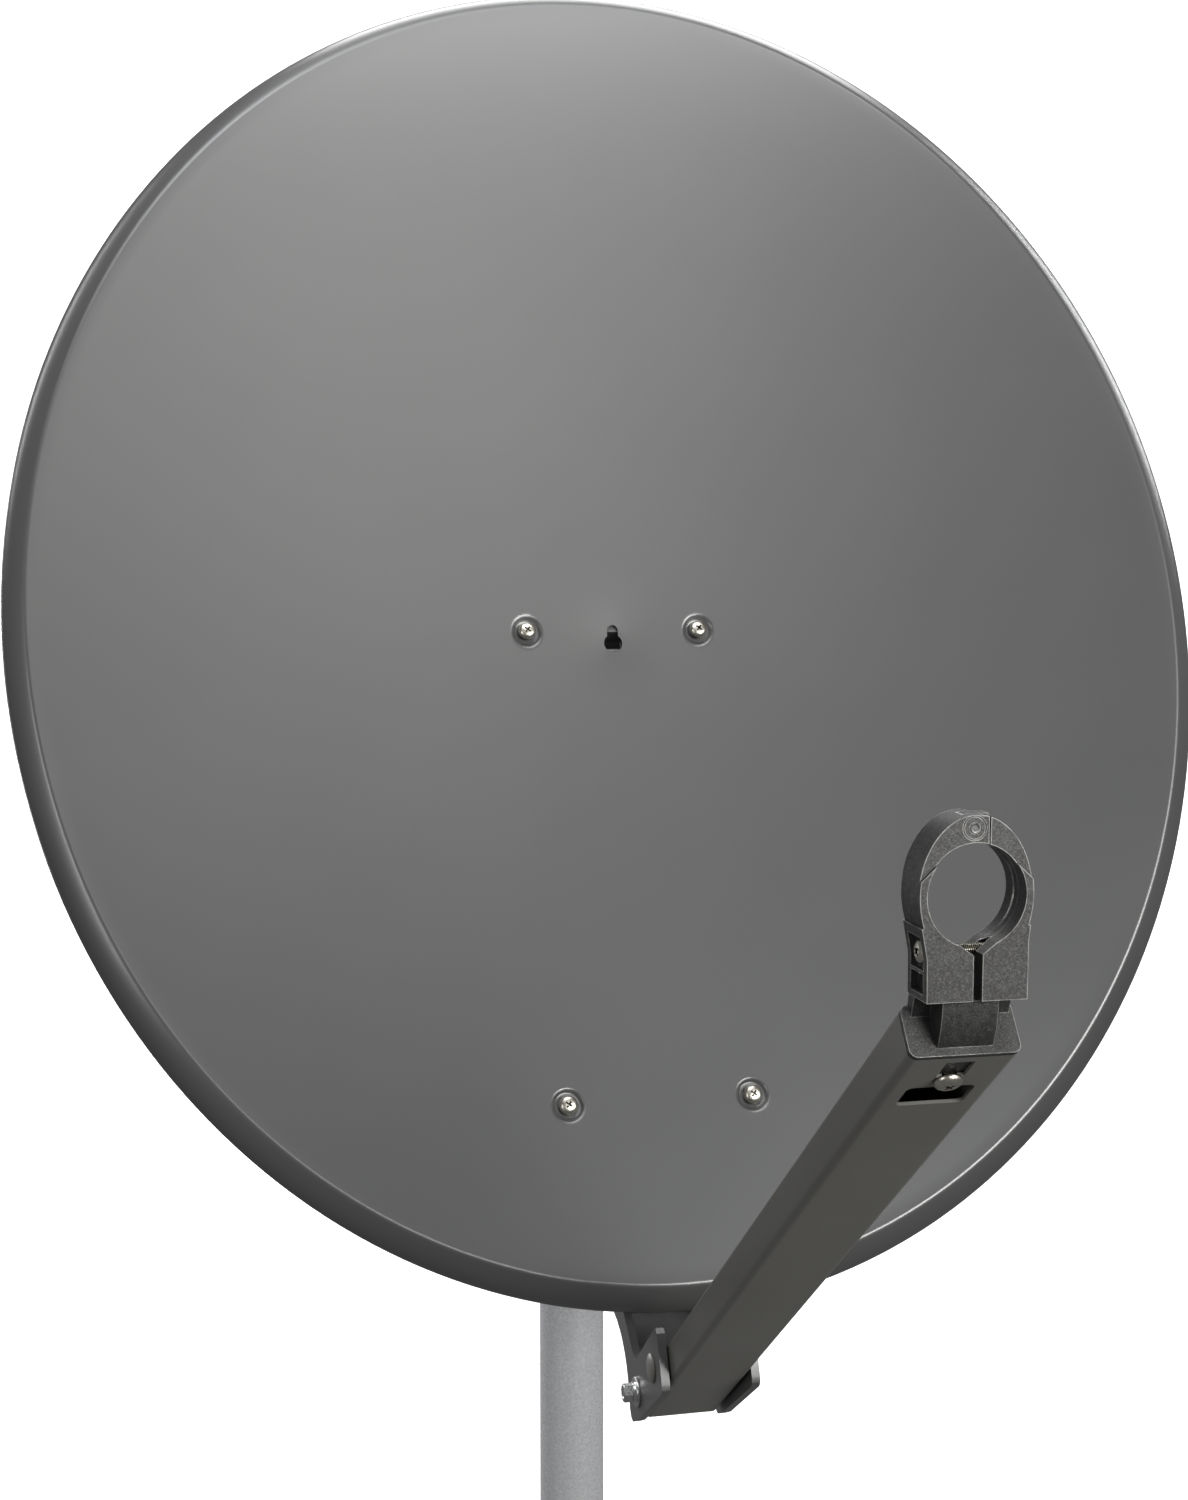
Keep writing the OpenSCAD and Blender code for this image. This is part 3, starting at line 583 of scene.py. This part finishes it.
def threaded(r, low, high, start, pitch, n=24):
    """A shank from low to high along Z, with a thread from start on, and a chamfered tip."""
    groove, chamfer, plain = 0.6 * pitch, 0.8, r - 0.05
    rings = [circle(plain, low, n), circle(plain, start, n)]
    steps = round((high - start) / pitch * 6)
    for k in range(steps + 1):
        z = start + (high - start) * k / steps
        top = r - THREAD_PLAY - max(0, z - high + chamfer)
        ring = []
        for i in range(n):
            a = 2 * math.pi * i / n
            wave = 0.5 - 0.5 * math.cos(2 * math.pi * (z / pitch) - a)
            reach = max(min(top, r - THREAD_PLAY - groove * wave), r - groove - chamfer)
            ring.append((reach * math.cos(a), reach * math.sin(a), z))
        rings.append(ring)
    return rings


def hex_bolt(size, under_head, tip, thread_from):
    """Rings of a bolt's head, with a shallow dish in its top, and of its shank, along Z."""
    corner = size["corner"]
    flat = corner * math.cos(math.pi / 6)
    top, step = under_head - HEAD_H, under_head - 0.25
    head = [circle(0.55 * flat, top + 0.35), circle(0.62 * flat, top)]
    head += [circle(0.97 * flat, top), hexagon(corner, top, 1), hexagon(corner, step)]
    head += [circle(0.93 * flat, step), circle(0.93 * flat, under_head)]
    return [head, threaded(size["r"], under_head - 0.3, tip, thread_from, size["pitch"])]


def hex_nut(size, low, height, play=THREAD_PLAY):
    """Rings of a nut along Z, from its bore round the outside and back."""
    corner, bore, high, chamfer = size["corner"], size["r"] + play, low + height, 0.6
    flat = corner * math.cos(math.pi / 6)
    rings = [circle(bore, low + chamfer), circle(bore + chamfer, low)]
    rings += [circle(0.97 * flat, low), hexagon(corner, low, 1)]
    rings += [hexagon(corner, high, -1), circle(0.97 * flat, high)]
    return rings + [circle(bore + chamfer, high), circle(bore, high - chamfer)]


def add_shells(name, shells, places, closed=False):
    """One mesh of several lofted shells, repeated at every place."""
    verts, faces = [], []
    for place in places:
        for rings in shells:
            more, loops = loft(rings, closed)
            start = len(verts)
            verts += [tuple(place @ Vector(v)) for v in more]
            faces += [tuple(i + start for i in loop) for loop in loops]
    return add_mesh(name, verts, faces)


BODY_OF = {node: body_of(piece)[0] for node, piece in NODES.items()}
SLOT_OF = {row["node"]: row["material_slot"] for row in frame["record"]["subparts"]}


def stands_for(piece, node, material=None, angle=35):
    """The piece is shown instead of the node, with its material and on its body."""
    sharpen(piece, angle)
    piece.data.materials.clear()
    piece.data.materials.append(material or SLOT_MATERIALS[SLOT_OF[node]])
    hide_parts(node)
    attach(piece, BODY_OF[node])


def cross_cutter(reach, top, bottom, places):
    """A Phillips recess along Z: a cross that narrows from top to bottom."""
    rings = []
    for z, arm, half in ((top, reach, 0.62), (bottom, reach * 0.45, 0.42)):
        ring = []
        for turn in range(4):
            a = turn * math.pi / 2
            c, q = math.cos(a), math.sin(a)
            for x, y in ((half, -half), (arm, -half), (arm, half)):
                ring.append((x * c - y * q, x * q + y * c, z))
        rings.append(ring)
    return add_shells("recess_cutter", [rings], places)


def pan_head(r, height, seat):
    """Rings of a pan head along Z, whose top is at seat - height."""
    profile = [(0.08, 1.0), (0.3, 0.995), (0.52, 0.96), (0.7, 0.87)]
    profile += [(0.84, 0.72), (0.94, 0.5), (0.99, 0.28), (1.0, 0.1)]
    rings = [circle(r * across, seat - height * up) for across, up in profile]
    return rings + [circle(r * 0.97, seat), circle(r * 0.5, seat)]


def phillips_screw(node, head, seat, tip, shank, places):
    """Cross-recessed screws: head is its radius and height, shank its radius and pitch."""
    head_r, head_h = head
    shank_r, pitch = shank
    top = seat - head_h
    piece = add_shells(node + "_detailed", [pan_head(head_r, head_h, seat)], places)
    cut(piece, cross_cutter(0.5 * head_r, top - 1, top + 1.9, places))
    rod = threaded(shank_r, seat - 0.5, tip, seat + 1, pitch)
    merge_into(piece, add_shells(node + "_shank", [rod], places))
    stands_for(piece, node)


def merge_into(piece, other):
    """Adds the other object's mesh to the piece's."""
    bm = bmesh.new()
    bm.from_mesh(piece.data)
    bm.from_mesh(other.data)
    bm.to_mesh(piece.data)
    bm.free()
    bpy.data.objects.remove(other)


def build_screws():
    turned = Matrix.Rotation(math.radians(38), 4, "Z")
    at_plug = ON_ARM @ Matrix.Translation((0, PLUG_SCREW_S, 0)) @ turned
    at_clamp = ON_CLAMP @ Matrix.Translation((0, CLAMP_L / 2, CLAMP_SCREW_Z)) @ ALONG_X @ turned
    in_plate = [place @ turned for place in AT_SCREWS]
    phillips_screw("reflector_screws", (6, 3.4), -SHEET - 1, 29, (2.95, 1), in_plate)
    phillips_screw("plug_screw", (6, 3.5), -0.05, 12.9, (2.95, 1), [at_plug])
    phillips_screw("clamp_screw", (4.9, 2.75), -17.5, 21.9, (2.45, 0.8), [at_clamp])


def build_bolts():
    """The hexagon bolts and their nuts, each at its places along its own Z."""
    pivot = [Matrix.Translation((0, ELEVATION_Y, ELEVATION_Z)) @ ALONG_X]
    lock = [Matrix.Translation((0, ELEVATION_Y, ELEVATION_Z + ELEVATION_R)) @ ALONG_X]
    arm_lock = [ON_ARM @ Matrix.Translation((0, ARM_LOCK_S, ARM_LOCK_N)) @ ALONG_X]
    upper, lower = [
        [Matrix.Translation((x * CLAMP_BOLT_PITCH / 2, 0, z)) @ ALONG_Y for x in (-1, 1)]
        for z in (JAW_PITCH / 2, -JAW_PITCH / 2)
    ]
    bolts = {
        "elevation_pivot_bolt": (hex_bolt(M8, -EAR_OUT - 1.6, EAR_OUT + 11, 28), pivot),
        "elevation_lock_bolt": (hex_bolt(M8, -EAR_OUT - 1.7, EAR_OUT + 11.1, 28), lock),
        "arm_lock_bolt": (hex_bolt(M6, -CHEEK - 3.6, CHEEK + 10.6, 26), arm_lock),
        "mast_bolts": (hex_bolt(M8, -38, 62, 22), upper + lower),
    }
    for node, (shells, places) in bolts.items():
        stands_for(add_shells(node + "_detailed", shells, places), node)
    nuts = {
        "elevation_pivot_nut": (hex_nut(M8, EAR_OUT + 1.6, NUT_H), pivot),
        "elevation_lock_nut": (hex_nut(M8, EAR_OUT + 1.7, NUT_H), lock),
        "arm_lock_nut": (hex_nut(M6, CHEEK + 1.6, THIN_NUT_H), arm_lock),
        "mast_nuts_upper": (hex_nut(M8, 29.6, NUT_H, 0.05), upper),
        "mast_nuts_lower": (hex_nut(M8, 29.6, NUT_H, 0.05), lower),
        "reflector_nuts": (hex_nut(M6, 22.2, THIN_NUT_H), AT_SCREWS),
    }
    for node, (rings, places) in nuts.items():
        stands_for(add_shells(node + "_detailed", [rings], places, closed=True), node)


def build_hinge_pin():
    """A rod with a centre mark and a turned groove at each end."""
    length = 21.5
    ends = [(1.2, 1.35), (1.35, 1.05), (1.75, 1.0), (1.98, 1.25)]
    rod = [circle(r, y) for r, y in ends] + [circle(r, length - y) for r, y in reversed(ends)]
    stands_for(add_shells("hinge_pin_detailed", [rod], [AT_PIN]), "clamp_hinge_pin", PIN_STEEL)


build_screws()
build_bolts()
build_hinge_pin()

# ---------- castings, pressings and plain nodes ----------


def copy_of(node):
    """A new piece with the node's shape, its flat faces joined up."""
    source = NODES[node]
    mesh = source.data.copy()
    mesh.transform(source.matrix_world)
    bm = bmesh.new()
    bm.from_mesh(mesh)
    bmesh.ops.remove_doubles(bm, verts=bm.verts, dist=SAME_POINT)
    bmesh.ops.dissolve_limit(bm, angle_limit=FLAT_ANGLE, verts=bm.verts, edges=bm.edges)
    bm.to_mesh(mesh)
    bm.free()
    piece = bpy.data.objects.new(node + "_detailed", mesh)
    bpy.context.scene.collection.objects.link(piece)
    return piece


def build_pressing(node, width):
    """The node's shape with clean flat faces and a small round along its edges."""
    piece = copy_of(node)
    add_bevel(piece, width)
    stands_for(piece, node, angle=30)


def knuckle_cutter():
    """A ring-shaped groove round the pin, in the front of the knuckle."""
    low, high = FACE_STEP - 1, FACE_STEP + 0.4
    ring = [circle(4.3, low), circle(4.75, low), circle(4.75, high), circle(4.3, high)]
    return add_shells("knuckle_cutter", [ring], [AT_PIN], closed=True)


def ledge_cutter():
    """A step inside the bore, behind the front lip."""
    sides = [(19, 8), (20.7, 8), (20.7, 13), (20.25, 13.4), (20.25, 21), (19, 21)]
    rings = [circle(r, y, 2 * AROUND) for r, y in sides]
    return add_shells("ledge_cutter", [rings], [ON_CLAMP @ ALONG_Y], closed=True)


def build_clamp_half(node, cutter):
    """The casting with a detail cut into it and a small round along its edges."""
    piece = copy_of(node)
    cut(piece, cutter)
    add_bevel(piece, 0.3)
    stands_for(piece, node)


build_clamp_half("feed_bracket", knuckle_cutter())
build_clamp_half("clamp_jaw", ledge_cutter())

for node in ("dish_bracket", "mast_bracket", "mast_jaw_upper", "mast_jaw_lower"):
    build_pressing(node, 0.7)
for node in ("arm_tube", "arm_pivot_rivet"):
    build_pressing(node, 0.25)
for node in NODES:
    if "washers" in node or node.endswith("bush") or node == "clamp_nut":
        clean_cad(node, 0.25)
    if node.endswith("bush"):
        NODES[node].data.materials[0] = BUSH_STEEL

# ---------- floor, backdrop and lights ----------

FLOOR_Z, FLOOR_FRONT = -750, -5000
FLOOR_LEFT, FLOOR_RIGHT = -5000, 6000
BEND_Y, BEND_R, BACKDROP_TOP = 2200, 1200, 5000


def add_floor():
    """A plain pale floor that curves up behind. It shows to the camera and lights nothing."""
    profile = [(FLOOR_FRONT, FLOOR_Z), (BEND_Y, FLOOR_Z)]
    profile += [(BEND_Y + y, FLOOR_Z + BEND_R + z) for y, z in arc(BEND_R, -84, 0, 6)]
    profile.append((BEND_Y + BEND_R, BACKDROP_TOP))
    verts = [(x, y, z) for y, z in profile for x in (FLOOR_LEFT, FLOOR_RIGHT)]
    faces = [(2 * i, 2 * i + 1, 2 * i + 3, 2 * i + 2) for i in range(len(profile) - 1)]
    sheet = add_mesh("floor", verts, faces)
    material, _tree, shader = new_material("floor")
    shader.inputs["Base Color"].default_value = (0.86, 0.86, 0.86, 1)
    shader.inputs["Roughness"].default_value = 0.8
    sheet.data.materials.append(material)
    sheet.visible_glossy = False
    sheet.visible_diffuse = False


def add_light(name, place, aim, size, power, colour=(1, 1, 1)):
    """A rectangular softbox of this size in metres, at a place and turned to the aim."""
    data = bpy.data.lights.new(name, "AREA")
    data.shape = "RECTANGLE"
    data.size, data.size_y = size
    data.energy = power
    data.color = colour
    light = bpy.data.objects.new(name, data)
    light.location = place
    light.rotation_euler = (Vector(aim) - Vector(place)).to_track_quat("-Z", "Y").to_euler()
    bpy.context.scene.collection.objects.link(light)


def place_round(aim, azimuth, elevation, distance):
    """A place round the aim: azimuth is degrees towards +X from straight in front, elevation degrees up."""
    a, e = math.radians(azimuth), math.radians(elevation)
    out = Vector((math.sin(a) * math.cos(e), -math.cos(a) * math.cos(e), math.sin(e)))
    return tuple(Vector(aim) + out * distance)


def add_mast():
    """The mast that the dish hangs on, which is not part of it: a plain tube and its plastic cap."""
    r, wall = MAST_D / 2, 2.5
    profile = [(r, FLOOR_Z), (r, -49), (r, 49), (r, 60), (r - 1, 61), (r - wall, 61), (r - wall, 20)]
    tube = add_mesh("mast", *loft([circle(reach, z, 60) for reach, z in profile]))
    sharpen(tube, 40)
    galvanised = bright_metal("mast_metal", (0.80, 0.81, 0.83), 0.3)
    galvanised.node_tree.nodes["Principled BSDF"].inputs["Metallic"].default_value = 0.55
    tube.data.materials.append(galvanised)
    profile = [(r + 1.5, 50), (r + 1.5, 68), (r + 0.8, 69.2), (r - 2, 69.6), (2, 69.8)]
    cap = add_shells("mast_cap", [[circle(reach, z) for reach, z in profile]], [Matrix()])
    dark, light = (0.012, 0.012, 0.012), (0.018, 0.018, 0.018)
    cap.data.materials.append(powder_coat("cap_plastic", dark, light, 0.5, 0.3))


def add_world():
    """A dim even white all round."""
    world = bpy.data.worlds.new("studio")
    world.use_nodes = True
    background = world.node_tree.nodes["Background"]
    background.inputs["Color"].default_value = (1, 1, 1, 1)
    background.inputs["Strength"].default_value = 0.15
    bpy.context.scene.world = world


add_floor()
add_world()
bpy.context.scene.view_settings.view_transform = "Standard"
add_mast()
AIM = (0, -0.25, 0.05)
WARM, COOL = (1.0, 1.0, 0.985), (0.96, 0.975, 1.0)
add_light("front_softbox", place_round(AIM, 27, 15, 4.0), AIM, (2.4, 1.2), 152, WARM)
add_light("fill_left", place_round(AIM, -50, 10, 3.0), AIM, (0.3, 1.4), 14)
add_light("rear_left_softbox", (-1.15, 1.6, 0.0), (0, -0.6, 0), (0.9, 1.0), 30)
add_light("overhead", place_round(AIM, -15, 74, 3.2), AIM, (2.4, 2.4), 56, COOL)
add_light("top_softbox", (0, -0.34, 0.70), (0, -0.1, 0.3), (0.7, 0.2), 1.5)
add_light("backdrop_left", (-2.2, 0.9, 1.6), (-1.0, 3.4, 1.0), (1.6, 1.6), 150)
add_light("backdrop_right", (2.6, 0.9, 1.6), (1.4, 3.4, 1.0), (1.6, 1.6), 150)
add_light("floor_behind", (0.6, 1.5, 2.6), (0.6, 1.9, -0.75), (2.4, 1.2), 70)
